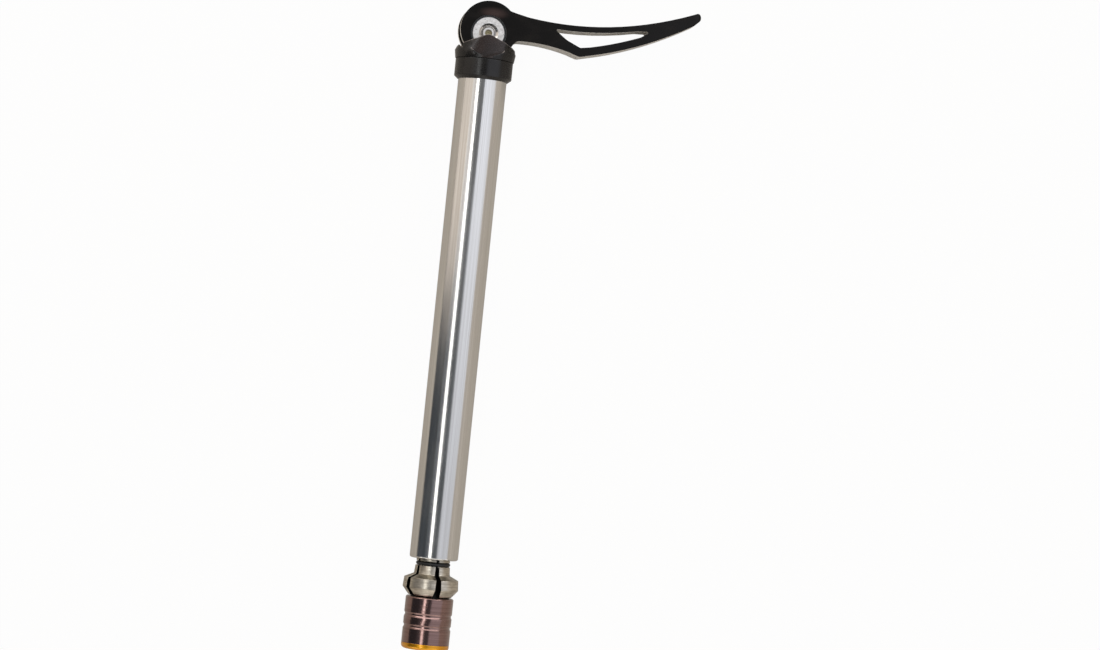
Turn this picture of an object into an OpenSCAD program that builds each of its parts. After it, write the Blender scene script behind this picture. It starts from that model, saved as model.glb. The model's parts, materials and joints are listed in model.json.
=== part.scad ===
// Bicycle thru axle with a cam lever, a smooth tube and five spreading jaws.
// Each piece is drawn upright: Z runs along the axle, zero is the underside of the
// seat collar, plus is towards the lever, and the lever points along X.
// lay() then puts the axle down the way it comes to rest: on its side, along Y.

/* [Axle tube] */
// Outer diameter of the axle tube
tube_d = 15; // [14:0.1:16]
// Length of tube between the seat collar and the open end
tube_len = 148.3; // [110:0.1:190]
// Wall of the tube
tube_wall = 1.5; // [1.2:0.05:1.6]
// Rounding of the open end of the tube
tube_edge = 0.7; // [0.3:0.1:1]

/* [Seat collar] */
// Diameter of the seat collar
collar_d = 17.8; // [17.2:0.1:20]
// Height of the seat collar
collar_h = 6.3; // [5.8:0.1:8]
// Height of the conical seat under the collar
collar_cone_h = 0.95; // [0.6:0.05:1.6]
// Depth of the socket that takes the spigot of the tube
socket_depth = 2.3; // [1.8:0.1:2.6]
// Depth of the recess for the foot of the saddle cap
recess_depth = 3; // [2.6:0.1:3.2]
// Wall between the recess and the outside of the collar
recess_wall = 1.5; // [1.2:0.1:1.8]

/* [Saddle cap] */
// Largest diameter of the saddle cap
cap_d = 18.9; // [18:0.1:21]
// Diameter at the lower edge of the saddle cap
cap_base_d = 18.2; // [17.6:0.1:18.6]
// Height of the widest line above the lower edge
cap_wide_h = 2.5; // [1.5:0.1:3]
// Diameter of the saddle cap above its widest line
cap_upper_d = 18.4; // [18:0.1:18.7]
// Height of the outer corner of the roof above the lower edge
cap_corner_h = 3.5; // [3.2:0.1:4]
// Slope of the roof of each ear in degrees
roof_angle = 24; // [20:0.5:30]
// Radius at the ridge of each ear
roof_round = 2.2; // [0.5:0.1:3]
// Distance across the flats of the two ears
ear_flats = 15.4; // [14.8:0.1:16.4]
// Radius of the round spot face on each ear
ear_face_r = 7.5; // [7:0.1:7.9]

/* [Lever] */
// Width of the lever head along the cross pin
lever_w = 9.4; // [9:0.1:10.4]
// Width of the lever at the tip
tip_w = 8.4; // [6:0.1:9]
// Diameter of the round cam head
head_d = 17.6; // [17.2:0.1:18]
// Throw of the cam, from the cross pin to the centre of the head
cam_throw = 1.15; // [0.8:0.05:1.2]
// Height of the cross pin above the seat
pivot_h = 14.5; // [14.3:0.1:14.8]
// Reach from the cross pin to the tip
lever_reach = 65.7; // [55:0.1:80]
// Height of the tip above the cross pin
tip_rise = 13.5; // [10:0.1:15]
// Height of the lowest part of the upper edge above the cross pin
waist_rise = 5.25; // [4.8:0.05:5.7]
// Distance of that lowest part from the cross pin
waist_x = 25; // [20:0.5:30]
// Depth of the belly corner below the cross pin
belly_drop = 4.15; // [3.5:0.05:5]
// Distance of the belly corner from the cross pin
belly_x = 28.7; // [26:0.1:32]
// Depth of the neck below the cross pin
neck_drop = 1.4; // [1:0.1:1.8]
// Thickness of the upper bar beside the window
upper_bar = 1.8; // [1.5:0.1:2.4]
// Thickness of the lower bar beside the window
lower_bar = 2.6; // [1.8:0.1:3]
// Distance of the near corner of the window from the cross pin
window_start = 20.1; // [18:0.1:23]
// Distance of the far corner of the window from the cross pin
window_end = 50.2; // [42:0.1:52]
// Radius of the tip
tip_round = 1.5; // [0.5:0.1:2]

/* [Cross pin] */
// Diameter of the cross pin
pin_d = 9.7; // [9.2:0.1:10]
// Wall of the two bushes round the cross pin
bush_wall = 0.6; // [0.4:0.05:0.8]
// Diameter of the cone sunk in each end of the cross pin
pin_cone_d = 6; // [5:0.1:6.4]
// Diameter of the brass core in the cross pin
core_d = 3.4; // [3:0.1:3.8]
// Bore of the brass core
core_bore_d = 2.2; // [1.6:0.1:2.4]
// Wall between the pull rod and the seat of each brass core
core_wall = 0.3; // [0.2:0.05:0.6]

/* [Pull rod] */
// Diameter of the pull rod
rod_d = 5; // [4.6:0.1:5.2]
// Distance that the rod ends above the foot of the end ring
rod_end_gap = 0.8; // [0.4:0.1:1.5]

/* [Jaws] */
// Distance from the tube end to the shoulder of the open jaws
neck_gap = 4.9; // [4.6:0.1:6]
// Diameter of the neck of the closed jaws
neck_d = 9.45; // [9.2:0.05:9.7]
// Diameter of the rim of the closed jaws
rim_d = 14.78; // [14.4:0.01:14.85]
// Height of the sloping shoulder
shoulder_h = 1.45; // [1.2:0.05:1.8]
// Height of the rim
rim_h = 3; // [2.4:0.1:3.6]
// Height of the lower cone
chin_h = 2.15; // [1.8:0.05:2.6]
// Outer diameter at the foot of the closed jaws
chin_d = 10.5; // [10.3:0.05:10.8]
// Bore of the closed jaws round the rod
jaw_bore_d = 5.6; // [5.5:0.05:5.8]
// Mouth diameter of the closed jaws
mouth_d = 9.2; // [9:0.05:9.3]
// Length of the inner cone of the jaws
mouth_len = 7.9; // [7.5:0.1:8.2]
// Width of the saw cut between two closed jaws
saw_cut = 0.3; // [0.2:0.05:0.5]
// Angle by which each jaw spreads
spread = 5.5; // [5:0.1:5.8]
// Height of the jaw hinge above the foot of the jaws
hinge_rise = 16.3; // [16:0.1:17]
// Distance of the jaw hinge from the axis
hinge_r = 4.8; // [4.7:0.05:4.9]
// Diameter of the bead at the top of the jaws
bead_d = 10.6; // [10.5:0.05:10.7]
// Turn of the first saw cut from the front
first_cut = 11; // [0:1:36]

/* [Jaw ring] */
// Thickness of the rubber ring
ring_cord_d = 1.16; // [1:0.02:1.2]
// Outer diameter of the rubber ring
ring_outer_d = 10.6; // [10.5:0.05:10.7]
// Distance of the rubber ring from the tube end
ring_drop = 1.5; // [1.4:0.05:1.7]

/* [Jaw carrier] */
// Length of the carrier above the jaws
carrier_len = 4.4; // [3:0.1:8]
// Length of the skirt that holds the beads
skirt_len = 3.9; // [3.8:0.05:4]
// Length of the spring
spring_len = 18; // [14:0.5:24]
// Wire of the spring
spring_wire = 0.9; // [0.7:0.05:1.1]
// Turns of the spring
spring_turns = 6; // [4:1:8]
// Thickness of the spring seat
seat_t = 2; // [1.2:0.1:3]

/* [End cap] */
// Diameter of the grip sleeve
sleeve_d = 14.8; // [14.4:0.05:14.9]
// Length of the grip sleeve
sleeve_len = 14.4; // [12:0.1:18]
// Wall of the grip sleeve
sleeve_wall = 1.2; // [1:0.05:1.4]
// Distance from the top of the sleeve to the first groove
groove_start = 5.6; // [4:0.1:6]
// Distance between the two grooves
groove_pitch = 3.6; // [3:0.1:4.5]
// Half width of each groove
groove_half_w = 0.65; // [0.4:0.05:0.9]
// Depth of each groove
groove_depth = 0.28; // [0.15:0.01:0.4]
// Height of the end ring
end_ring_h = 1.85; // [1.6:0.05:2.4]
// Rounding of the end ring
end_ring_round = 1.2; // [0.6:0.1:1.4]
// Bore of the end ring
end_ring_bore_d = 7; // [6:0.1:9]

/* [Guides] */
// Length of the rod guide in the tube
guide_len = 8; // [5:0.5:14]
// Thickness of the thrust washer
washer_t = 0.8; // [0.5:0.05:1]
// Thickness of the cradle under the cam
cradle_t = 0.7; // [0.6:0.05:0.9]
// Wire of the snap ring that keeps the carrier in the tube
snap_wire = 0.8; // [0.6:0.05:0.9]

/* [Clearances] */
// Radial gap of a running fit
fit_gap = 0.05; // [0.03:0.01:0.08]
// Radial gap of a pressed fit
press_gap = 0.02; // [0.01:0.01:0.02]
// Gap between the lever head and each ear
side_gap = 0.3; // [0.2:0.05:0.4]
// Gap between the cam and its cradle
cam_gap = 0.1; // [0.08:0.01:0.15]
// Gap between the expander cone and the spread jaws
cone_gap = 0.3; // [0.25:0.01:0.35]
// Gap between the foot of the jaws and the grip sleeve
foot_gap = 0.3; // [0.25:0.05:0.6]

/* [Hidden] */
$fn = 96;

jaw_count = 5;
jaw_step = 360 / jaw_count;
over = 1;

// radii of the tube and of what slides or is pressed in it
tube_r = tube_d / 2;
bore_r = tube_r - tube_wall;
spigot_r = tube_r - 0.3;
rod_r = rod_d / 2;
rod_hole_r = rod_r + fit_gap;

// heights of the collar, its recess and the pieces stacked in it
recess_r = collar_d / 2 - recess_wall;
recess_h = collar_h - recess_depth;
boss_r = recess_r - 2 * fit_gap;
boss_h = recess_h + washer_t + fit_gap;

// saddle cap: the trough between the ears is a hollow cylinder that leaves room for
// the cam as its centre moves sideways by the throw, to the side away from the lever
cap_r = cap_d / 2;
cap_upper_r = cap_upper_d / 2;
cap_step_h = 0.5;
corner_ease = 0.4;
corner_h = collar_h + cap_corner_h;
ridge_h = corner_h + cap_r * tan(roof_angle);
trough_half = lever_w / 2 + side_gap;
head_r = head_d / 2;
cradle_ease = 2.7;
cradle_top = pivot_h + cam_throw - head_r - cam_gap;
cradle_r = head_r + cradle_ease;
trough_low = cradle_top - cradle_t;
trough_x = -cam_throw / 2;
trough_r = head_r + cam_throw / 2 + 0.35;
cradle_inset = 3.6;
cradle_half = head_r - cradle_inset;

// jaws: heights from the tube end down to the foot, with the jaws closed
tube_end = -tube_len;
shoulder_top = tube_end - neck_gap;
rim_top = shoulder_top - shoulder_h;
rim_foot = rim_top - rim_h;
jaw_foot = rim_foot - chin_h;
hinge_h = jaw_foot + hinge_rise;
mouth_top = jaw_foot + mouth_len;
jaw_top = hinge_h + 0.9;
bead_foot = hinge_h - 0.9;
neck_r = neck_d / 2;
bead_r = bead_d / 2;
ring_h = tube_end - ring_drop;
ring_cord_r = ring_cord_d / 2;
ring_mid_r = ring_outer_d / 2 - ring_cord_r;
// the spread neck stands further out than the closed one by this much at the ring
ring_spread = (hinge_h - ring_h) * tan(spread);
ring_floor_r = ring_mid_r - ring_cord_r - ring_spread - 0.12;
ring_groove_half = ring_cord_r + 0.15;

// jaw carrier, spring and its seat
carrier_r = bore_r - fit_gap;
skirt_top = jaw_top + 0.3;
skirt_foot = skirt_top - skirt_len;
skirt_lip = 0.8;
carrier_top = skirt_top + carrier_len;
spring_top = carrier_top + spring_len;
spring_mid_r = (rod_r + bore_r) / 2;
snap_top = skirt_foot - 0.1;

// end cap
sleeve_r = sleeve_d / 2;
sleeve_top = jaw_foot - foot_gap;
sleeve_foot = sleeve_top - sleeve_len;
foot_h = sleeve_foot - end_ring_h;
sleeve_bore_r = sleeve_r - sleeve_wall;
core_r = sleeve_bore_r - press_gap;
sleeve_lip_t = 0.8;
cone_slope = (mouth_d - jaw_bore_d) / 2 / mouth_len + tan(spread);
cone_tip_r = jaw_bore_d / 2 + (hinge_h - mouth_top) * tan(spread) - cone_gap;
cone_foot_r = cone_tip_r + cone_slope * (mouth_top - sleeve_top);
rod_foot = foot_h + rod_end_gap;

// lever outline: the tip, the two places where the arm leaves the head, and the radii
// of the corners
tip_x = lever_reach - 0.9;
tip_t = 4.2;
tail_x = lever_reach - 2.3;
tail_rise = tip_rise - tip_t;
neck_x = 12;
root_angle = 58;
heel_angle = -36;
root_r = head_r - 0.4;
root_round = 2;
shoulder_round = 4;
belly_round = 2.2;
heel_round = 1.9;
window_round = 0.35;
window_bend_r = 6;
window_belly_round = 1.2;
tip_plan_r = 2.4;

// cross pin and its bushes
pin_r = pin_d / 2;
pin_half = lever_w / 2 - 0.1;
pin_cone_h = 1.1;
core_len = pin_half - rod_r - core_wall;
bush_out_r = pin_r + fit_gap + bush_wall;
rod_slot_half = rod_r + 0.3;

// roll that puts the lower corner of the lever tip on the surface the cap lies on
tip_reach = norm([lever_reach, tip_w / 2]);
roll = asin(cap_r / tip_reach) - atan(tip_w / 2 / lever_reach);

// Puts an upright piece down on its side, with the lever tip on the surface
module lay() {
    rotate([0, roll, 0])
        rotate([-90, 0, 0])
            children();
}

// Solid of revolution about the axle, from points of radius and height
module turned(points) {
    rotate_extrude()
        polygon(points);
}

// A flat outline drawn in X and Z, with a thickness along Y
module plate(half) {
    rotate([90, 0, 0])
        translate([0, 0, -half])
            linear_extrude(2 * half)
                children();
}

// A cylinder along Y at the height of the cross pin
module across(r, half, h = pivot_h) {
    translate([0, 0, h])
        rotate([90, 0, 0])
            cylinder(r = r, h = 2 * half, center = true);
}

function unit(v) = v / norm(v);

// Points of an outline with round corners: each corner is [x, y, radius]
function corner_arc(a, b, c, steps) =
    let (
        u = unit([a.x - b.x, a.y - b.y]),
        v = unit([c.x - b.x, c.y - b.y]),
        half = acos(max(-1, min(1, u * v))) / 2,
        back = b[2] / tan(half),
        mid = unit(u + v) * (b[2] / sin(half)),
        centre = [b.x, b.y] + mid,
        p = [b.x, b.y] + u * back - centre,
        q = [b.x, b.y] + v * back - centre,
        start = atan2(p.y, p.x),
        turn = atan2(p.x * q.y - p.y * q.x, p * q)
    )
    [for (i = [0 : steps]) centre + b[2] * [cos(start + turn * i / steps), sin(start + turn * i / steps)]];

function rounded(points, steps = 6) =
    let (n = len(points))
    [for (i = [0 : n - 1])
        each points[i][2] == 0 ? [[points[i].x, points[i].y]]
            : corner_arc(points[(i + n - 1) % n], points[i], points[(i + 1) % n], steps)];

module axle_tube() {
    color("silver") lay()
        difference() {
            rotate_extrude()
                polygon(concat(
                    [[0, tube_end], [tube_r - tube_edge, tube_end]],
                    [for (a = [-75 : 15 : 0])
                        [tube_r - tube_edge + tube_edge * cos(a), tube_end + tube_edge + tube_edge * sin(a)]],
                    [[tube_r, 0], [spigot_r, 0], [spigot_r, socket_depth], [0, socket_depth]]));
            translate([0, 0, tube_end - over])
                cylinder(r = bore_r, h = tube_len + socket_depth + 2 * over);
            snap_groove();
        }
}

// Groove inside the tube for the snap ring
module snap_groove() {
    translate([0, 0, snap_top - snap_wire - 0.05])
        cylinder(r = bore_r + snap_wire / 2 + fit_gap, h = snap_wire + 0.1);
}

module seat_collar() {
    color("dimgray") lay()
        difference() {
            turned([
                [0, 0],
                [tube_r + 0.25, 0],
                [collar_d / 2, collar_cone_h],
                [collar_d / 2, collar_h - 0.15],
                [collar_d / 2 - 0.15, collar_h],
                [0, collar_h]]);
            translate([0, 0, -over])
                cylinder(r = spigot_r + press_gap, h = socket_depth + over);
            translate([0, 0, recess_h])
                cylinder(r = recess_r, h = recess_depth + over);
            translate([0, 0, -over])
                cylinder(r = rod_hole_r + 0.3, h = collar_h + 2 * over);
        }
}

// Bush that keeps the rod in the middle of the tube
module rod_guide() {
    color("white") lay()
        translate([0, 0, socket_depth - guide_len])
            difference() {
                cylinder(r = bore_r - press_gap, h = guide_len);
                translate([0, 0, -over])
                    cylinder(r = rod_hole_r, h = guide_len + 2 * over);
            }
}

module spring_seat() {
    color("gray") lay()
        translate([0, 0, spring_top])
            difference() {
                cylinder(r = bore_r - press_gap, h = seat_t);
                translate([0, 0, -over])
                    cylinder(r = rod_hole_r + 0.2, h = seat_t + 2 * over);
            }
}

// Open ring of wire in the groove near the end of the tube
module snap_ring() {
    opening = 2.4;
    color("dimgray") lay()
        difference() {
            translate([0, 0, snap_top - snap_wire])
                cylinder(r = bore_r + snap_wire / 2, h = snap_wire);
            translate([0, 0, snap_top - snap_wire - over])
                cylinder(r = bore_r - snap_wire / 2, h = snap_wire + 2 * over);
            translate([bore_r, 0, snap_top])
                cube([tube_d, opening, tube_d], center = true);
        }
}

// Outline of the cap seen from the front: straight sides and a gabled roof with eased corners
module roof_outline() {
    ease_x = cap_upper_r - corner_ease;
    ease_h = corner_h + (cap_r - ease_x) * tan(roof_angle);
    drop_h = ease_h - 2 * (cap_r + over - ease_x);
    polygon(rounded([
        [-cap_r - over, boss_h - over, 0],
        [cap_r + over, boss_h - over, 0],
        [cap_r + over, drop_h, 0],
        [ease_x, ease_h, corner_ease],
        [0, ridge_h, roof_round],
        [-ease_x, ease_h, corner_ease],
        [-cap_r - over, drop_h, 0]], 8));
}

module saddle_cap() {
    color("dimgray") lay()
        difference() {
            intersection() {
                turned([
                    [0, boss_h],
                    [boss_r, boss_h],
                    [boss_r, collar_h + 0.05],
                    [cap_base_d / 2, collar_h + 0.05],
                    [cap_r, collar_h + cap_wide_h],
                    [cap_upper_r, collar_h + cap_wide_h + cap_step_h],
                    [cap_upper_r, ridge_h + over],
                    [0, ridge_h + over]]);
                plate(cap_d) roof_outline();
            }
            trough();
            for (side = [-1, 1])
                translate([0, side * (ear_flats / 2 + over * 2), pivot_h])
                    rotate([90, 0, 0])
                        cylinder(r = ear_face_r, h = over * 4, center = true);
            translate([0, 0, boss_h - over])
                cylinder(r = rod_hole_r + 0.1, h = ridge_h);
        }
}

// Hollow between the ears for the cam head, with its round floor
module trough() {
    intersection() {
        translate([trough_x, 0, 0])
            across(trough_r, trough_half, trough_low + trough_r);
        translate([-cap_d, -cap_d, trough_low - over])
            cube([2 * cap_d, 2 * cap_d, ridge_h]);
    }
}

module cam_cradle() {
    color("black") lay()
        difference() {
            translate([trough_x, 0, 0])
                difference() {
                    intersection() {
                        across(trough_r - press_gap, trough_half - press_gap, trough_low + trough_r);
                        translate([-cradle_half, -cap_d, trough_low - over])
                            cube([2 * cradle_half, 2 * cap_d, trough_r]);
                    }
                    across(cradle_r, cap_d, cradle_top + cradle_r);
                }
            translate([0, 0, boss_h - over])
                cylinder(r = rod_hole_r + 0.1, h = ridge_h);
        }
}

module thrust_washer() {
    color("peru") lay()
        translate([0, 0, recess_h])
            difference() {
                cylinder(r = recess_r - fit_gap, h = washer_t);
                translate([0, 0, -over])
                    cylinder(r = rod_hole_r + 0.3, h = washer_t + 2 * over);
            }
}

module pull_rod() {
    color("lightgray") lay()
        translate([0, 0, rod_foot])
            cylinder(r = rod_r, h = pivot_h + 3 - rod_foot);
}

module cross_pin() {
    color("lightgray") lay()
        difference() {
            across(pin_r, pin_half);
            translate([0, 0, pivot_h - pin_r - over])
                cylinder(r = rod_r + press_gap, h = pin_r + 3 + over);
            for (side = [0, 180])
                translate([0, 0, pivot_h])
                    rotate([90, 0, side])
                        translate([0, 0, pin_half]) {
                            translate([0, 0, -pin_cone_h])
                                cylinder(r1 = core_d / 2, r2 = pin_cone_d / 2, h = pin_cone_h + 0.01);
                            translate([0, 0, -core_len])
                                cylinder(r = core_d / 2 + press_gap, h = core_len + over);
                        }
        }
}

// Two short brass tubes, one in each end of the cross pin
module pin_core() {
    color("tan") lay()
        for (side = [0, 180])
            translate([0, 0, pivot_h])
                rotate([90, 0, side])
                    translate([0, 0, pin_half - core_len])
                        difference() {
                            cylinder(r = core_d / 2, h = core_len - 0.35);
                            translate([0, 0, 0.3])
                                cylinder(r = core_bore_d / 2, h = core_len);
                        }
}

// Upper edge of the lever arm at a distance x from the cross pin
function upper_edge(x) =
    waist_rise + (tip_rise - waist_rise) * pow((x - waist_x) / (tip_x - waist_x), 2);

// Lower edge from the neck to the belly corner
function neck_edge(x) =
    -neck_drop - (belly_drop - neck_drop) * pow((x - neck_x) / (belly_x - neck_x), 2);

// Lower edge from the belly corner to the tip
function tail_edge(x) =
    let (u = (x - belly_x) / (tail_x - belly_x))
    -belly_drop + (tail_rise + belly_drop) * (u + u * u) / 2;

// Arm from inside the head, along the upper edge to the tip and back by the belly
module arm_outline() {
    polygon(rounded(concat(
        [[1, cam_throw, 0],
            [root_r * cos(root_angle), cam_throw + root_r * sin(root_angle), 0],
            [head_r * cos(root_angle) + 1.45, cam_throw + head_r * sin(root_angle) - 1.15, root_round],
            [head_r - 0.6, upper_edge(head_r - 0.6) + 0.2, shoulder_round]],
        [for (i = [0 : 14]) let (x = neck_x + (tip_x - neck_x) * i / 14.5) [x, upper_edge(x), 0]],
        [[tip_x, tip_rise, 0.9],
            [lever_reach + 0.1, tip_rise - 1.9, tip_round],
            [tail_x, tail_rise, 0]],
        [for (i = [9 : -1 : 1]) let (x = belly_x + (tail_x - belly_x) * i / 10) [x, tail_edge(x), 0]],
        [[belly_x, -belly_drop - 0.1, belly_round]],
        [for (i = [6 : -1 : 0]) let (x = neck_x + (belly_x - neck_x) * i / 7.5) [x, neck_edge(x), 0]],
        [[head_r + 0.3, -neck_drop - 0.05, heel_round],
            [root_r * cos(heel_angle), cam_throw + root_r * sin(heel_angle), 0]])));
}

// Three-sided window between the upper and the lower bar, with its near side bowed in
module window_outline() {
    start_rise = upper_edge(window_start) - upper_bar;
    belly_rise = -belly_drop + lower_bar;
    polygon(rounded(concat(
        [[window_start, start_rise, window_round]],
        [for (i = [1 : 6])
            let (x = window_start + (window_end - window_start) * i / 7)
            [x, upper_edge(x) - upper_bar, 0]],
        [[window_end, upper_edge(window_end) - upper_bar * 1.45, window_round]],
        [for (i = [6 : -1 : 1])
            let (x = belly_x + (window_end - belly_x) * i / 7)
            [x, tail_edge(x) + lower_bar, 0]],
        [[belly_x, belly_rise + 0.15, window_belly_round],
            [(window_start + belly_x) / 2 - 0.1, (start_rise + belly_rise) / 2 - 0.45, window_bend_r]])));
}

// Outline of the lever seen from above: parallel head, slim round tip
module lever_plan() {
    polygon(rounded([
        [-head_d, -lever_w / 2, 0],
        [head_d, -lever_w / 2, 0],
        [lever_reach + 0.4, -tip_w / 2, tip_plan_r],
        [lever_reach + 0.4, tip_w / 2, tip_plan_r],
        [head_d, lever_w / 2, 0],
        [-head_d, lever_w / 2, 0]], 8));
}

module lever() {
    color("black") lay()
        difference() {
            intersection() {
                union() {
                    across(head_r, lever_w, pivot_h + cam_throw);
                    translate([0, 0, pivot_h])
                        plate(lever_w) difference() {
                            arm_outline();
                            window_outline();
                        }
                }
                linear_extrude(2 * lever_reach)
                    lever_plan();
            }
            across(bush_out_r + press_gap, lever_w);
            translate([-head_d, -rod_slot_half, pivot_h - head_d])
                cube([head_d + rod_slot_half, 2 * rod_slot_half, 2 * head_d]);
        }
}

module pin_bush(side) {
    translate([0, side * (lever_w / 2 + rod_slot_half) / 2, 0])
        difference() {
            across(bush_out_r, (lever_w / 2 - rod_slot_half) / 2 - 0.15);
            across(pin_r + fit_gap, lever_w);
        }
}

module pin_bush_front() {
    color("black") lay() pin_bush(-1);
}

module pin_bush_rear() {
    color("black") lay() pin_bush(1);
}

// Sleeve that slides in the tube and holds the beads of the jaws
module jaw_carrier() {
    lip_r = neck_r + (hinge_h - skirt_foot) * tan(spread) + 0.15;
    color("gray") lay()
        turned([
            [rod_hole_r + 0.05, carrier_top],
            [carrier_r, carrier_top],
            [carrier_r, skirt_foot],
            [lip_r, skirt_foot],
            [lip_r, skirt_foot + skirt_lip],
            [bead_r + 0.2, skirt_foot + skirt_lip + 0.3],
            [bead_r + 0.2, skirt_top],
            [rod_hole_r + 0.05, skirt_top]]);
}

module jaw_ring() {
    color("black") lay()
        translate([0, 0, ring_h])
            rotate_extrude()
                translate([ring_mid_r, 0])
                    circle(r = ring_cord_r, $fn = 32);
}

// Points of one ring of the spring wire at the turn a
function wire_ring(a, sides) =
    [for (j = [0 : sides - 1])
        let (b = 360 * j / sides, r = spring_mid_r + spring_wire / 2 * cos(b))
        [r * cos(a), r * sin(a), spring_rise(a) + spring_wire / 2 * sin(b)]];

// Height of the wire: a flat coil at each end and an even pitch between
function spring_rise(a) =
    let (low = carrier_top + spring_wire / 2 + 0.05, high = spring_top - spring_wire / 2 - 0.05,
        t = max(0, min(1, (a / 360 - 0.75) / (spring_turns - 1.5))))
    low + (high - low) * t;

module carrier_spring() {
    sides = 8;
    steps = spring_turns * 20;
    points = [for (i = [0 : steps]) each wire_ring(360 * spring_turns * i / steps, sides)];
    walls = [for (i = [0 : steps - 1], j = [0 : sides - 1])
        [i * sides + j, (i + 1) * sides + j, (i + 1) * sides + (j + 1) % sides, i * sides + (j + 1) % sides]];
    start = [[for (j = [0 : sides - 1]) j]];
    end = [[for (j = [sides - 1 : -1 : 0]) steps * sides + j]];
    color("lightgray") lay()
        polyhedron(points, concat(walls, start, end));
}

// Closed jaws as one turned piece, before the saw cuts
module jaw_blank() {
    turned([
        [jaw_bore_d / 2, mouth_top],
        [mouth_d / 2, jaw_foot],
        [chin_d / 2, jaw_foot],
        [rim_d / 2, rim_foot],
        [rim_d / 2, rim_top],
        [neck_r + 0.2, shoulder_top],
        [neck_r, shoulder_top + 0.2],
        [neck_r, ring_h - ring_groove_half],
        [ring_floor_r, ring_h - ring_groove_half],
        [ring_floor_r, ring_h + ring_groove_half],
        [neck_r, ring_h + ring_groove_half],
        [neck_r, bead_foot - 0.5],
        [bead_r, bead_foot],
        [bead_r, jaw_top - 0.4],
        [bead_r - 0.4, jaw_top],
        [jaw_bore_d / 2 + 0.6, jaw_top],
        [jaw_bore_d / 2, jaw_top - 0.6]]);
}

// One jaw: a slice of the blank, swung out about its hinge to the open place
module jaw(i) {
    middle = first_cut - 90 + jaw_step * (i - 0.5);
    reach = rim_d;
    apex = saw_cut / 2 / sin(jaw_step / 2);
    color("darkgray") lay()
        rotate([0, 0, middle])
            translate([hinge_r, 0, hinge_h])
                rotate([0, -spread, 0])
                    translate([-hinge_r, 0, -hinge_h])
                        intersection() {
                            jaw_blank();
                            translate([0, 0, jaw_foot - over])
                                linear_extrude(jaw_top - jaw_foot + 2 * over)
                                    polygon([
                                        [apex, 0],
                                        [apex + reach * cos(jaw_step / 2), reach * sin(jaw_step / 2)],
                                        [apex + reach * cos(jaw_step / 2), -reach * sin(jaw_step / 2)]]);
                        }
}

// Cone that spreads the jaws, with the threaded core of the end cap
module expander() {
    color("gray") lay()
        difference() {
            turned([
                [0, mouth_top],
                [cone_tip_r - 0.2, mouth_top],
                [cone_tip_r, mouth_top - 0.4],
                [cone_foot_r, sleeve_top],
                [cone_foot_r, sleeve_top - sleeve_lip_t - fit_gap],
                [core_r, sleeve_top - sleeve_lip_t - fit_gap],
                [core_r, sleeve_foot],
                [0, sleeve_foot]]);
            translate([0, 0, foot_h])
                cylinder(r = rod_hole_r, h = mouth_top - foot_h + over);
        }
}

module grip_sleeve() {
    color("rosybrown") lay()
        difference() {
            turned([
                [0, sleeve_top],
                [sleeve_r - 0.3, sleeve_top],
                [sleeve_r, sleeve_top - 0.35],
                [sleeve_r, sleeve_foot],
                [0, sleeve_foot]]);
            translate([0, 0, sleeve_foot - over])
                cylinder(r = sleeve_bore_r, h = sleeve_len - sleeve_lip_t + over);
            translate([0, 0, sleeve_foot])
                cylinder(r = cone_foot_r + press_gap, h = sleeve_len + over);
            for (i = [0, 1])
                translate([0, 0, sleeve_top - groove_start - i * groove_pitch])
                    grip_groove();
        }
}

// Round groove about the sleeve, cut by a ring whose section is a circle
module grip_groove() {
    cut_r = (groove_half_w * groove_half_w + groove_depth * groove_depth) / (2 * groove_depth);
    rotate_extrude()
        translate([sleeve_r + cut_r - groove_depth, 0])
            circle(r = cut_r, $fn = 64);
}

module end_ring() {
    color("goldenrod") lay()
        turned(concat(
            [[end_ring_bore_d / 2, sleeve_foot],
                [end_ring_bore_d / 2, foot_h + 0.4],
                [end_ring_bore_d / 2 + 0.4, foot_h]],
            [for (a = [-90 : 15 : 0])
                [sleeve_r - end_ring_round + end_ring_round * cos(a),
                    foot_h + end_ring_round + end_ring_round * sin(a)]],
            [[sleeve_r, sleeve_foot]]));
}

axle_tube();
seat_collar();
rod_guide();
spring_seat();
snap_ring();
saddle_cap();
cam_cradle();
thrust_washer();
pull_rod();
cross_pin();
pin_core();
lever();
pin_bush_front();
pin_bush_rear();
jaw_carrier();
jaw_ring();
carrier_spring();
jaw(1);  // jaw_1
jaw(2);  // jaw_2
jaw(3);  // jaw_3
jaw(4);  // jaw_4
jaw(5);  // jaw_5
expander();
grip_sleeve();
end_ring();
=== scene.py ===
import json
import math

import bmesh
import bpy
from mathutils import Matrix, Vector

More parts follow.
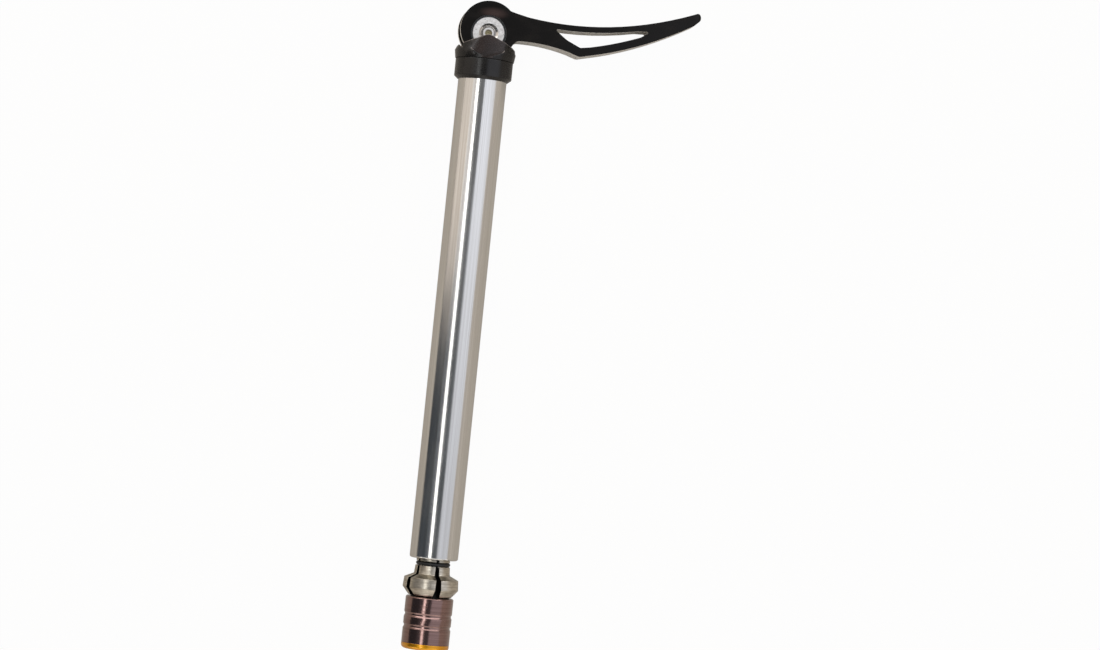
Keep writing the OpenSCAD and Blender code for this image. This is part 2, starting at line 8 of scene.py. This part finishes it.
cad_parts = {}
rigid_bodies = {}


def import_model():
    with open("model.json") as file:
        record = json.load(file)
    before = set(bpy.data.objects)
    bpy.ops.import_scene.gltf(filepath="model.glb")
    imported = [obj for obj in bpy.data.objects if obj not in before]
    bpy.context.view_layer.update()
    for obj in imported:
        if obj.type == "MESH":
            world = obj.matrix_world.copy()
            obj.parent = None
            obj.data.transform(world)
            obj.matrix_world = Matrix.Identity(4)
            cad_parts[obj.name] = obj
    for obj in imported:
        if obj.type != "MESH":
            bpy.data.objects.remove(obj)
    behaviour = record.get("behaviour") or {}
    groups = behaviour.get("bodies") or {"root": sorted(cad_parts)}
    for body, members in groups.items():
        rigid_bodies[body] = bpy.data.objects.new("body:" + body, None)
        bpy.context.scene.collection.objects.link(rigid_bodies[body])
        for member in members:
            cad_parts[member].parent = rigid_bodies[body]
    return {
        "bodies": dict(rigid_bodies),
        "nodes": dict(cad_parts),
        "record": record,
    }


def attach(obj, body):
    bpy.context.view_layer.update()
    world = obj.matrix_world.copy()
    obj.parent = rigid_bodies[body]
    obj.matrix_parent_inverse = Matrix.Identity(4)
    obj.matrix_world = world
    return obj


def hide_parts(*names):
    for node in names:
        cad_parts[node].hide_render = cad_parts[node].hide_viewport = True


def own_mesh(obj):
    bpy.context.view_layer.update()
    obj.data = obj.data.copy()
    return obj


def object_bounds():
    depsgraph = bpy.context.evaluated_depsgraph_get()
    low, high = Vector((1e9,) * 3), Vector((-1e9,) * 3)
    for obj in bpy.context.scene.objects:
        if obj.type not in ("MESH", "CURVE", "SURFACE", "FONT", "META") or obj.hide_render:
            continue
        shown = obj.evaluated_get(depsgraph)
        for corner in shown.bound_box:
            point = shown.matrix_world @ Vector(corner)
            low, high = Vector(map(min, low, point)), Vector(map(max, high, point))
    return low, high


# Looks of a bicycle thru axle lying on a white table, seen from straight above.
# Everything is in metres in the frame of the part: +Y runs along the axle to the lever,
# +X to the tip of the lever, +Z up.

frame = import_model()
cad_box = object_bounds()
record = frame["record"]
body_of = {name: body for body in frame["bodies"] for name in record["behaviour"]["bodies"][body]}
joints = {joint["name"]: joint for joint in record["behaviour"]["joints"]}

MM = 0.001
JAWS = [f"jaw_{count}" for count in range(1, 6)]
# The lever swings about the cross pin, whose axis stands square to the cheeks of the lever
PIN_MIDDLE = Vector(joints["lever_swing"]["pos_m"])
PIN_AXIS = Vector(joints["lever_swing"]["axis"])
# A point near the middle of the axle, over which the lamps hang
AXLE_MIDDLE = Vector((0, -0.08, 0))

SMOOTH = {"interpolation_type": "SMOOTHSTEP"}
COLOURS = {"data_type": "RGBA"}


def linear(code, alpha=1.0):
    """An sRGB hex colour as linear red, green, blue and alpha."""
    parts = [int(code[i : i + 2], 16) / 255 for i in (1, 3, 5)]
    return tuple(c / 12.92 if c <= 0.04045 else ((c + 0.055) / 1.055) ** 2.4 for c in parts) + (alpha,)


def add(tree, kind, inputs=None, **settings):
    """Adds a node. An input is a plain value, an output socket, or a node that feeds it."""
    made = tree.nodes.new(kind)
    for name, value in settings.items():
        setattr(made, name, value)
    for name, value in (inputs or {}).items():
        if isinstance(value, bpy.types.Node):
            value = next(socket for socket in value.outputs if socket.enabled)
        if isinstance(value, bpy.types.NodeSocket):
            tree.links.new(value, made.inputs[name])
        else:
            made.inputs[name].default_value = value
    return made


def start(name):
    """An empty material, its node tree, and the place on the piece in metres."""
    material = bpy.data.materials.new(name)
    material.use_nodes = True
    tree = material.node_tree
    tree.nodes.clear()
    return material, tree, add(tree, "ShaderNodeTexCoord").outputs["Object"]


def grain(tree, place, size, detail=3, rough=0.5):
    """A pattern of soft spots that are size millimetres long along X, Y and Z."""
    scaled = add(tree, "ShaderNodeMapping", {"Vector": place, "Scale": [1 / MM / s for s in size]})
    return add(tree, "ShaderNodeTexNoise", {
        "Vector": scaled, "Scale": 1, "Detail": detail, "Roughness": rough})


def close(tree, colour, rough, marks, relief, **constants):
    """Ends a material with its surface. relief is how deep the marks are in millimetres."""
    bump = add(tree, "ShaderNodeBump", {"Height": marks, "Distance": relief * MM, "Strength": 1})
    inputs = {"Base Color": colour, "Roughness": rough, "Normal": bump}
    inputs.update({name.replace("_", " "): value for name, value in constants.items()})
    add(tree, "ShaderNodeOutputMaterial", {"Surface": add(tree, "ShaderNodeBsdfPrincipled", inputs)})


def drawn_tube():
    """Drawn and polished aluminium tube: long fine draw lines, clear reflections."""
    material, tree, place = start("drawn_polished_aluminium")
    lines = grain(tree, place, (0.35, 60, 0.35), detail=4)
    cloud = grain(tree, place, (5, 30, 5), detail=2)
    drawn = add(tree, "ShaderNodeMapRange", {"Value": lines, "From Min": 0.3, "From Max": 0.7}, **SMOOTH)
    colour = add(tree, "ShaderNodeMix", {
        "Factor": drawn, "A": linear("#cbc9c5"), "B": linear("#d8d7d4")}, **COLOURS)
    rough = add(tree, "ShaderNodeMapRange", {
        "Value": cloud, "From Min": 0.35, "From Max": 0.65, "To Min": 0.15, "To Max": 0.2}, **SMOOTH)
    close(tree, colour, rough, lines, 0.003, Metallic=1)
    return material


def satin_black(name, dark, light):
    """Black anodised aluminium, bead blasted: dark and even, with a broad soft sheen."""
    material, tree, place = start(name)
    blast = grain(tree, place, (0.4, 0.4, 0.4), detail=4)
    cloud = grain(tree, place, (3, 3, 3), detail=2)
    patches = add(tree, "ShaderNodeMapRange", {"Value": cloud, "From Min": 0.35, "From Max": 0.65}, **SMOOTH)
    colour = add(tree, "ShaderNodeMix", {"Factor": patches, "A": linear(dark), "B": linear(light)}, **COLOURS)
    rough = add(tree, "ShaderNodeMapRange", {
        "Value": blast, "From Min": 0.3, "From Max": 0.7, "To Min": 0.22, "To Max": 0.3}, **SMOOTH)
    close(tree, colour, rough, blast, 0.004, Metallic=0, Specular_IOR_Level=0.36)
    return material


def gloss_black():
    """Gloss black coating on the flat cheeks of the lever: deep black, faintly smeared.

    It carries a painted brown reflection, a thin soft oval above the cross pin."""
    material, tree, place = start("gloss_black_coating")
    # Painted reflection: a soft brown oval on the black above the cross pin
    oval_middle = (1.4 * MM, 20.8 * MM, 0)
    oval_shape = (1, 2.6, 0)
    inner, outer = 1 * MM, 5.6 * MM
    smear = grain(tree, place, (6, 3, 6))
    speck = grain(tree, place, (0.5, 0.5, 0.5))
    away = add(tree, "ShaderNodeVectorMath", {0: place, 1: oval_middle}, operation="SUBTRACT")
    shaped = add(tree, "ShaderNodeVectorMath", {0: away, 1: oval_shape}, operation="MULTIPLY")
    distance = add(tree, "ShaderNodeVectorMath", {0: shaped}, operation="LENGTH")
    brown_reflection = add(tree, "ShaderNodeMapRange", {
        "Value": distance, "From Min": inner, "From Max": outer, "To Min": 1, "To Max": 0}, **SMOOTH)
    smeared = add(tree, "ShaderNodeMapRange", {"Value": smear, "From Min": 0.45, "From Max": 0.75}, **SMOOTH)
    coat = add(tree, "ShaderNodeMix", {
        "Factor": smeared, "A": linear("#0c0a08"), "B": linear("#13100d")}, **COLOURS)
    colour = add(tree, "ShaderNodeMix", {"Factor": brown_reflection, "A": coat, "B": linear("#352926")}, **COLOURS)
    rough = add(tree, "ShaderNodeMapRange", {
        "Value": smear, "From Min": 0.35, "From Max": 0.7, "To Min": 0.24, "To Max": 0.3}, **SMOOTH)
    close(tree, colour, rough, speck, 0.002, Metallic=0, Specular_IOR_Level=0.16)
    return material


def bare_edge():
    """Tumbled bare aluminium where the outline of the lever was milled: pale, speckled."""
    material, tree, place = start("tumbled_bare_aluminium")
    pits = grain(tree, place, (0.45, 0.45, 0.45), detail=4)
    open_pits = add(tree, "ShaderNodeMapRange", {"Value": pits, "From Min": 0.36, "From Max": 0.5}, **SMOOTH)
    colour = add(tree, "ShaderNodeMix", {
        "Factor": open_pits, "A": linear("#9d9890"), "B": linear("#e4e1da")}, **COLOURS)
    rough = add(tree, "ShaderNodeMapRange", {
        "Value": pits, "From Min": 0.3, "From Max": 0.7, "To Min": 0.5, "To Max": 0.34}, **SMOOTH)
    close(tree, colour, rough, pits, 0.02, Metallic=0.6)
    return material


def worn_bevel():
    """Narrow bevel of the lever: black coating, rubbed through to bare metal in chips.

    The chips grow closer towards the tip, where the hand takes hold."""
    material, tree, place = start("worn_black_coating")
    grip_start, grip_end = 46 * MM, 64 * MM
    spots = grain(tree, place, (1.1, 1.1, 1.1), detail=4, rough=0.65)
    reach = add(tree, "ShaderNodeSeparateXYZ", {"Vector": place}).outputs["X"]
    handled = add(tree, "ShaderNodeMapRange", {
        "Value": reach, "From Min": grip_start, "From Max": grip_end, "To Min": 0, "To Max": 0.14}, **SMOOTH)
    chips = add(tree, "ShaderNodeMath", {0: spots, 1: handled}, operation="ADD")
    bare = add(tree, "ShaderNodeMapRange", {"Value": chips, "From Min": 0.62, "From Max": 0.66}, **SMOOTH)
    colour = add(tree, "ShaderNodeMix", {
        "Factor": bare, "A": linear("#0f0d0c"), "B": linear("#c9c5bd")}, **COLOURS)
    rough = add(tree, "ShaderNodeMapRange", {"Value": bare, "To Min": 0.24, "To Max": 0.4}, **SMOOTH)
    close(tree, colour, rough, chips, 0.01, Metallic=bare)
    return material


def zinc_steel(name, rough):
    """Zinc plate on turned steel: pale blue grey, clouded, with a few scuffs."""
    material, tree, place = start(name)
    cloud = grain(tree, place, (0.9, 0.9, 0.9), detail=4, rough=0.6)
    rubs = grain(tree, place, (1.6, 0.7, 1.6), rough=0.6)
    clouded = add(tree, "ShaderNodeMapRange", {"Value": cloud, "From Min": 0.35, "From Max": 0.7}, **SMOOTH)
    clean = add(tree, "ShaderNodeMix", {
        "Factor": clouded, "A": linear("#c6c3c0"), "B": linear("#e0dedb")}, **COLOURS)
    scuffs = add(tree, "ShaderNodeMapRange", {"Value": rubs, "From Min": 0.66, "From Max": 0.69}, **SMOOTH)
    colour = add(tree, "ShaderNodeMix", {"Factor": scuffs, "A": clean, "B": linear("#5d666d")}, **COLOURS)
    roughness = add(tree, "ShaderNodeMapRange", {
        "Value": cloud, "From Min": 0.3, "From Max": 0.7, "To Min": rough + 0.15, "To Max": rough}, **SMOOTH)
    close(tree, colour, roughness, cloud, 0.01, Metallic=1)
    return material


def satin_nickel():
    """Satin nickel plate over turned steel: warm grey, with fine rings from the lathe."""
    material, tree, place = start("satin_nickel_plate")
    rings = grain(tree, place, (40, 0.35, 40))
    cloud = grain(tree, place, (2.5, 1.2, 2.5))
    both = add(tree, "ShaderNodeMath", {0: rings, 1: cloud}, operation="MULTIPLY")
    patches = add(tree, "ShaderNodeMapRange", {"Value": both, "From Min": 0.12, "From Max": 0.4}, **SMOOTH)
    colour = add(tree, "ShaderNodeMix", {
        "Factor": patches, "A": linear("#a0988a"), "B": linear("#cfc8ba")}, **COLOURS)
    rough = add(tree, "ShaderNodeMapRange", {
        "Value": rings, "From Min": 0.3, "From Max": 0.7, "To Min": 0.4, "To Max": 0.26}, **SMOOTH)
    close(tree, colour, rough, rings, 0.008, Metallic=1)
    return material


def grained(name, size, colours, rough, relief, **constants):
    """A finish with one grain, of size millimetres along X, Y and Z, in its colour, roughness and relief.

    colours and rough go from the low to the high spots of the grain, which is relief millimetres deep."""
    material, tree, place = start(name)
    marks = grain(tree, place, size)
    spots = add(tree, "ShaderNodeMapRange", {"Value": marks, "From Min": 0.35, "From Max": 0.65}, **SMOOTH)
    colour = add(tree, "ShaderNodeMix", {
        "Factor": spots, "A": linear(colours[0]), "B": linear(colours[1])}, **COLOURS)
    roughness = add(tree, "ShaderNodeMapRange", {
        "Value": marks, "From Min": 0.3, "From Max": 0.7, "To Min": rough[0], "To Max": rough[1]}, **SMOOTH)
    close(tree, colour, roughness, marks, relief, **constants)
    return material


tube_metal = drawn_tube()
black_metal = satin_black("black_anodised_aluminium", "#0b0908", "#12100e")
# Painted light: a lighter copy of this black for the flats of the cap's ears that face along the pin
painted_lighter_ear_metal = satin_black("painted_lighter_black_anodised_aluminium", "#211a17", "#2b2320")
# Painted highlight: a pale grey copy of this black for the eased edges on the gables of the cap's ears
gable_highlight_metal = satin_black("painted_highlight_black_anodised_aluminium", "#6f6661", "#857b75")
black_gloss = gloss_black()
edge_metal = bare_edge()
worn_edge = worn_bevel()
zinc = zinc_steel("zinc_plated_steel", 0.45)
bright_zinc = zinc_steel("bright_zinc_plated_steel", 0.16)
nickel = satin_nickel()

# Dyed anodised aluminium over fine turning rings: the metal shines through the dye.
# The sealed oxide film is a clear coat, so bright lamps look nearly white in it.
rings = (40, 0.5, 40)
film = {"Metallic": 1, "Coat_Weight": 0.7, "Coat_Roughness": 0.14}
brown = grained("brown_anodised_aluminium", rings, ("#7d6059", "#8d6f69"), (0.22, 0.16), 0.003, **film)
gold = grained("gold_anodised_aluminium", rings, ("#dd940c", "#eaa61a"), (0.38, 0.32), 0.003, **film)

# Turned brass, gone dull and pale
tarnish = (0.6, 0.6, 0.6)
brass = grained("turned_brass", tarnish, ("#8c8262", "#c4b894"), (0.4, 0.3), 0.008, Metallic=1)

# Metals of the inner pieces: the rod ground lengthwise, and the others plain with a fine even grain
ground, drawn, slot_shade_grain, rolled = (0.6, 20, 0.6), (0.5, 0.5, 0.5), (0.6, 0.6, 0.6), (1, 1, 1)
rod_metal = grained("ground_steel", ground, ("#9a9a98", "#b4b4b2"), (0.33, 0.25), 0.004, Metallic=1)
spring_metal = grained("drawn_spring_steel", drawn, ("#8f9092", "#a9aaac"), (0.38, 0.3), 0.004, Metallic=1)
# Dark steel for the expander and the saw-cut walls of the jaws: partly painted shade, darker than the steel
# seen deep in the slots
slot_shade_steel = grained("dark_steel_painted_slot_shade", slot_shade_grain, ("#121212", "#1c1b1a"), (0.48, 0.4), 0.004, Metallic=1)
bronze = grained("bronze_sheet", rolled, ("#93603a", "#ab7448"), (0.4, 0.32), 0.004, Metallic=1)

# Moulded rubber and acetal: even colour, fine matt skin
skin = (0.5, 0.5, 0.5)
rubber = grained("black_nitrile_rubber", skin, ("#0b0b0b", "#141413"), (0.45, 0.55), 0.006, Metallic=0)
black_acetal = grained("black_acetal", skin, ("#0d0d0d", "#161616"), (0.35, 0.45), 0.006, Metallic=0)
white_acetal = grained("white_acetal", skin, ("#dcdad3", "#e8e6e0"), (0.35, 0.45), 0.006, Metallic=0)

finishes = {
    "axle_tube": tube_metal, "seat_collar": black_metal, "rod_guide": white_acetal,
    "spring_seat": rod_metal, "snap_ring": spring_metal,
    "saddle_cap": black_metal, "cam_cradle": black_acetal, "thrust_washer": bronze,
    "pull_rod": rod_metal, "cross_pin": zinc, "pin_core": brass,
    "lever": black_gloss, "pin_bush_front": black_acetal, "pin_bush_rear": black_acetal,
    "jaw_carrier": rod_metal, "jaw_ring": rubber, "carrier_spring": spring_metal,
    "expander": slot_shade_steel, "grip_sleeve": brown, "end_ring": gold,
}
finishes.update(dict.fromkeys(JAWS, nickel))
for name, finish in finishes.items():
    mesh = frame["nodes"][name].data
    mesh.materials.clear()
    mesh.materials.append(finish)


def clean_copy(name, ending, corner):
    """A node's shape again as a piece with clean faces: corners merged and flat triangles joined.

    Edges sharper than corner degrees are shaded sharp, and the rest smooth."""
    same_corner = 1e-6
    same_plane = math.radians(0.6)
    work = bmesh.new()
    work.from_mesh(frame["nodes"][name].data)
    bmesh.ops.remove_doubles(work, verts=work.verts, dist=same_corner)
    bmesh.ops.dissolve_limit(work, angle_limit=same_plane, verts=work.verts, edges=work.edges)
    mesh = bpy.data.meshes.new(name + ending)
    work.to_mesh(mesh)
    work.free()
    mesh.materials.append(finishes[name])
    mesh.shade_smooth()
    mesh.set_sharp_from_angle(angle=math.radians(corner))
    piece = bpy.data.objects.new(name + ending, mesh)
    bpy.context.scene.collection.objects.link(piece)
    return piece


def eased(name, width, corner=30, edge=None, others=(), clamp=True):
    """The node again, with edges sharper than corner degrees eased by width millimetres.

    The eased edges take the material edge, and the others are there for faces that take another finish, worn
    or painted lighter or darker."""
    piece = clean_copy(name, "_eased", corner)
    for material in ([edge] if edge else []) + list(others):
        piece.data.materials.append(material)
    bevel = piece.modifiers.new("ease", "BEVEL")
    bevel.width = width * MM
    bevel.segments = 3
    bevel.limit_method = "ANGLE"
    bevel.angle_limit = math.radians(corner)
    bevel.use_clamp_overlap = clamp
    bevel.harden_normals = True
    bevel.material = 1 if edge else -1
    graph = bpy.context.evaluated_depsgraph_get()
    piece.data = bpy.data.meshes.new_from_object(piece.evaluated_get(graph))
    piece.modifiers.clear()
    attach(piece, body_of[name])
    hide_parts(name)
    return piece


def refinish(piece, material, test):
    """Gives the faces of a piece that pass the test another of its materials."""
    index = piece.data.materials.find(material.name)
    for face in piece.data.polygons:
        if test(face):
            face.material_index = index


def plain(face):
    """Whether a face still has the first material of its piece."""
    return face.material_index == 0


def flatness(face):
    """How nearly a face lies in the plane of the lever's cheeks: 1 in it, and 0 square to it."""
    return abs(face.normal.dot(PIN_AXIS))


def along_pin(face):
    """How far a face lies from the middle of the cross pin along it, in millimetres."""
    return abs((face.center - PIN_MIDDLE).dot(PIN_AXIS)) / MM


def off_pin(face):
    """How far a face lies from the axis of the cross pin, in millimetres."""
    return (face.center - PIN_MIDDLE).cross(PIN_AXIS).length / MM


def off_gable_edge(face):
    """Whether an eased edge of the saddle cap lies off the gables of its ears, where it gets no painted
    highlight.
    """
    ear_foot = 8.6 * MM
    return face.material_index == 1 and (face.center.y < ear_foot or face.normal.y < 0.1)


def saw_cut(face):
    """Whether a face of a jaw is a wall where the saw parted the jaws."""
    outward = Vector((face.center.x, 0, face.center.z)).normalized()
    return abs(face.normal.dot(outward)) < 0.5 and abs(face.normal.y) < 0.4


# The lever: gloss black cheeks, worn bevels, and bare metal where the outline was milled
lever = eased("lever", 0.28, 40, worn_edge, [edge_metal])
refinish(lever, edge_metal, lambda face: plain(face) and flatness(face) < 0.6)

# The jaws: nickel outside, and dark steel on the walls where the saw parted them, which partly paints the
# shade in the slots
for name in JAWS:
    refinish(eased(name, 0.08, 15, others=[slot_shade_steel]), slot_shade_steel, saw_cut)

# The saddle cap: a painted lighter black on the flats of the ears that face along the pin, and painted
# highlight lines on the eased edges of the gables of the ears alone
cap = eased("saddle_cap", 0.12, 40, gable_highlight_metal, [painted_lighter_ear_metal], clamp=False)
refinish(cap, painted_lighter_ear_metal, lambda face: plain(face) and flatness(face) > 0.97)
refinish(cap, black_metal, off_gable_edge)

# The cross pin: satin end faces, and a bright cone between two radii in millimetres
cone_inner, cone_outer = 1.6, 3.05
pin = eased("cross_pin", 0.1, others=[bright_zinc])
refinish(pin, bright_zinc, lambda face: cone_inner < off_pin(face) < cone_outer and 0.3 < flatness(face) < 0.95)

# The cores of the pin: plated outside and on the rim, and brass in their bore, in millimetres
bore_r, rim_start = 1.15, 4.1
core = eased("pin_core", 0.06, edge=zinc, others=[bright_zinc])
refinish(core, bright_zinc, lambda face: off_pin(face) > bore_r)
refinish(core, zinc, lambda face: flatness(face) > 0.9 and along_pin(face) > rim_start)

# Small eased edges that catch the light on the turned pieces
for name, width in {"seat_collar": 0.12, "grip_sleeve": 0.1, "end_ring": 0.06}.items():
    eased(name, width)

# The spring reaches from the carrier to its seat in the tube; its copy rides on the axle
coil = clean_copy("carrier_spring", "_coil", 50)
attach(coil, "axle")
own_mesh(coil)
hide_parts("carrier_spring")


def white_table():
    """A wide table under the part: white to the camera and to glass, a pale grey in metal."""
    width = 8
    gap = 0.05 * MM
    white_seen, white_in_metal = 0.97, 0.12
    low = cad_box[0]
    bpy.ops.mesh.primitive_plane_add(size=width, location=(0, AXLE_MIDDLE.y, low.z - gap))
    table = bpy.context.object
    table.name = "white_table"
    material, tree = start("white_table_top")[:2]
    top = add(tree, "ShaderNodeBsdfDiffuse", {"Color": linear("#b0a698")})
    white = add(tree, "ShaderNodeEmission", {"Color": linear("#ffffff"), "Strength": 1})
    path = add(tree, "ShaderNodeLightPath").outputs
    clear = add(tree, "ShaderNodeMath", {
        0: path["Is Camera Ray"], 1: path["Is Transmission Ray"]}, operation="MAXIMUM")
    in_metal = add(tree, "ShaderNodeMath", {
        0: path["Is Glossy Ray"], 1: white_in_metal}, operation="MULTIPLY")
    share = add(tree, "ShaderNodeMath", {0: clear, 1: white_seen, 2: in_metal}, operation="MULTIPLY_ADD")
    both = add(tree, "ShaderNodeMixShader", {0: share, 1: top, 2: white})
    add(tree, "ShaderNodeOutputMaterial", {"Surface": both})
    table.data.materials.append(material)


def photo_camera():
    """The camera of the photo: it looks nearly straight down from 1 m above the middle of the axle.

    The picture is turned by tilt, and shifted so that picture_middle is in its middle."""
    photo_px = 1100
    px_per_mm = 3.237
    tilt = math.radians(5.82)
    picture_middle = Vector((28.43, -72.86, 0)) * MM
    below_lens = Vector((-10, -97, 0)) * MM
    lens_height = 1000 * MM
    film = 36
    eye = below_lens + Vector((0, 0, lens_height))
    back = (eye - (picture_middle + below_lens) / 2).normalized()
    upward = Vector((-math.sin(tilt), math.cos(tilt), 0))
    right = upward.cross(back).normalized()
    turn = Matrix((right, back.cross(right), back)).transposed()
    seen = turn.transposed() @ (picture_middle - eye)
    camera = bpy.data.objects.new("camera", bpy.data.cameras.new("camera"))
    bpy.context.scene.collection.objects.link(camera)
    bpy.context.scene.camera = camera
    camera.location = eye
    camera.rotation_euler = turn.to_euler()
    camera.data.sensor_width = film
    camera.data.lens = film * px_per_mm * -seen.z / MM / photo_px
    camera.data.shift_x = seen.x / MM * px_per_mm / photo_px
    camera.data.shift_y = seen.y / MM * px_per_mm / photo_px
    camera.data.clip_start = 0.01
    camera.data.clip_end = 20


def softbox(name, angle, lean, distance, width, length, level, colour, along=0):
    """A soft lamp: angle from overhead towards +X, lean towards +Y, both in degrees.

    along moves it towards +Y in metres, and level is how bright it looks, where 1 is white."""
    lamp = bpy.data.lights.new(name, "AREA")
    lamp.shape = "RECTANGLE"
    lamp.size = width
    lamp.size_y = length
    lamp.energy = level * math.pi * width * length
    lamp.color = linear(colour)[:3]
    piece = bpy.data.objects.new(name, lamp)
    bpy.context.scene.collection.objects.link(piece)
    a, b = math.radians(angle), math.radians(lean)
    towards = Vector((math.sin(a) * math.cos(b), math.sin(b), math.cos(a) * math.cos(b)))
    piece.location = AXLE_MIDDLE + Vector((0, along, 0)) + towards * distance
    side = Vector((0, 1, 0)).cross(towards).normalized()
    piece.rotation_euler = Matrix((side, towards.cross(side), towards)).transposed().to_euler()
    piece.visible_camera = False


def dim_room(colour):
    """The room around the table, in one dim colour."""
    world = bpy.data.worlds.new("room")
    bpy.context.scene.world = world
    world.use_nodes = True
    tree = world.node_tree
    tree.nodes.clear()
    room = add(tree, "ShaderNodeBackground", {"Color": linear(colour), "Strength": 1})
    add(tree, "ShaderNodeOutputWorld", {"Surface": room})


white_table()
photo_camera()
# The white line down the tube, and its faint glow
softbox("strip_lamp", -20, 0, 1.2, 0.22, 1.8, 3.4, "#ffffff")
softbox("strip_glow_lamp", -35, 0, 1.2, 0.4, 1.8, 0.07, "#eef2ff")
# The dark middle of the tube, a little lighter towards the lever
softbox("top_lamp", 0, 0, 1.2, 0.54, 1.4, 0.04, "#ffffff")
softbox("top_far_lamp", 0, 0, 1.19, 0.54, 0.7, 0.09, "#fff8f4", 0.4)
# The pale right half of the tube, paler towards the lever, and its warm edge
softbox("right_lamp", 39.5, 0, 1.2, 1.2, 2.0, 0.76, "#f4f6ff")
softbox("right_middle_lamp", 39.5, 0, 1.19, 1.2, 0.8, 0.17, "#f4f6ff", 0.35)
softbox("right_far_lamp", 39.5, 0, 1.18, 1.2, 0.8, 0.22, "#f4f6ff", 0.46)
softbox("right_low_lamp", 80, 0, 1.2, 0.6, 1.6, 0.54, "#fff1e0")
# The warm left half of the tube near the lever
softbox("left_soft_lamp", -36, 0, 0.5, 0.16, 0.6, 0.8, "#fbf4ee", 0.33)
softbox("left_warm_lamp", -66, 0, 0.5, 0.41, 0.6, 0.87, "#fff1e3", 0.33)
# The slopes that face the lever, and those that face the grip
softbox("far_lamp", 0, 55, 1.2, 3.2, 0.7, 2.8, "#ffffff")
softbox("near_lamp", 0, -55, 1.2, 3.0, 0.7, 0.7, "#ffffff")
softbox("near_low_lamp", 0, -78, 1.2, 3.0, 0.4, 1.4, "#fff8f0")
dim_room("#454a50")

bpy.context.scene.view_settings.view_transform = "Standard"
